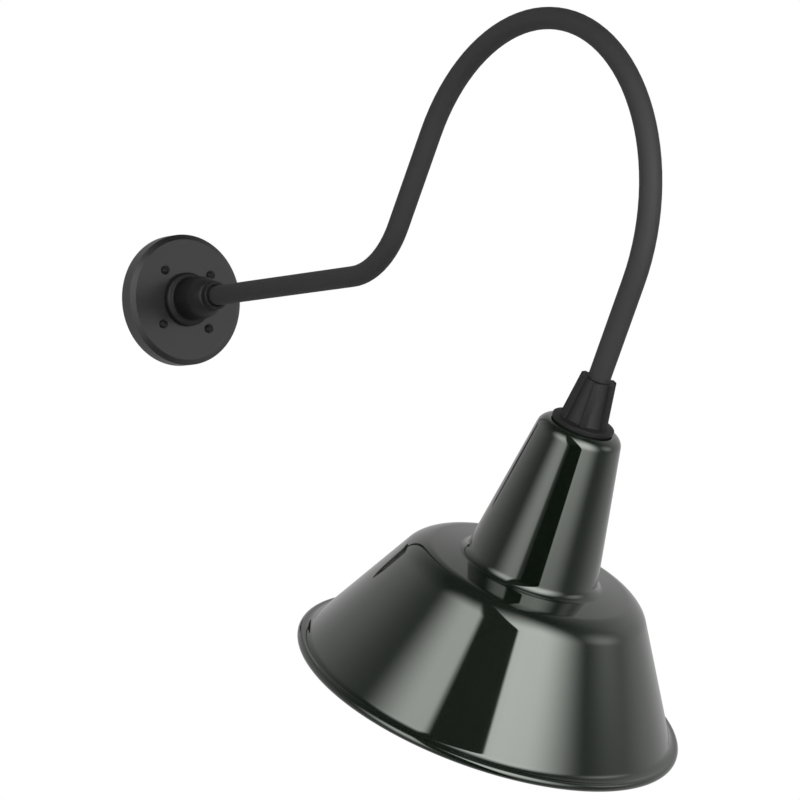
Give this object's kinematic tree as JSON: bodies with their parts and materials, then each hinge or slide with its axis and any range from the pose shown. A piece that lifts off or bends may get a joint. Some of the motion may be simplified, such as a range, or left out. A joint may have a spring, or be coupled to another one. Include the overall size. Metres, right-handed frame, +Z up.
{
  "type": "gooseneck wall sconce",
  "caption": "Outdoor wall light: a round wall plate and hub carry a bent gooseneck tube, and a fluted collar holds a flared enamelled shade over a screw-in lamp.",
  "frame": {"origin": "centre of the wall plate's back, on the wall, which is also the centre of the four studs", "axes": "+Z up, +Y into the wall, so the arm leaves the wall along -Y, and X = 0 is the plane of the arm and the shade's axis"},
  "size_m": [0.3555, 0.7729, 0.6933],
  "materials": {
    "green_enamel": "gloss",
    "black_casting": "satin",
    "black_tube": "satin",
    "black_screw": "satin",
    "zinc_steel": "satin",
    "earth_green": "gloss",
    "brass": "satin",
    "porcelain": "gloss",
    "foam_rubber": "matte",
    "gasket_rubber": "matte",
    "bush_plastic": "matte",
    "line_insulation": "satin",
    "neutral_insulation": "satin",
    "opal_glass": "satin",
    "cap_metal": "polished",
    "black_glass": "gloss",
    "solder": "satin"
  },
  "bodies": {
    "sconce": {"wall_plate": "black_casting", "wall_gasket": "foam_rubber", "plate_screws": "black_screw", "arm_hub": "black_casting", "hub_washer": "zinc_steel", "hub_locknut": "zinc_steel", "hub_grub_screw": "black_screw", "ground_washer": "brass", "ground_screw": "earth_green", "inlet_bushing": "bush_plastic", "arm_tube": "black_tube", "outlet_bushing": "bush_plastic", "shade_collar": "black_casting", "collar_grub_screw": "black_screw", "collar_gasket": "gasket_rubber", "shade": "green_enamel", "socket_nipple": "zinc_steel", "shade_washer": "zinc_steel", "shade_nut": "zinc_steel", "bracket_nuts": "zinc_steel", "lampholder_bracket": "zinc_steel", "bracket_screws": "zinc_steel", "lampholder_body": "porcelain", "screw_shell": "brass", "centre_contact": "brass", "terminal_plates": "brass", "terminal_screws": "brass", "line_wire": "line_insulation", "neutral_wire": "neutral_insulation"},
    "lamp": {"lamp_bulb": "opal_glass", "lamp_cap": "cap_metal", "lamp_insulator": "black_glass", "lamp_contact": "solder"}
  },
  "joints": [
    {"name": "lamp_out", "type": "slide", "parent": "sconce", "child": "lamp", "axis": [0, 0.4726, -0.8813], "range_m": [0, 0.24]}
  ]
}
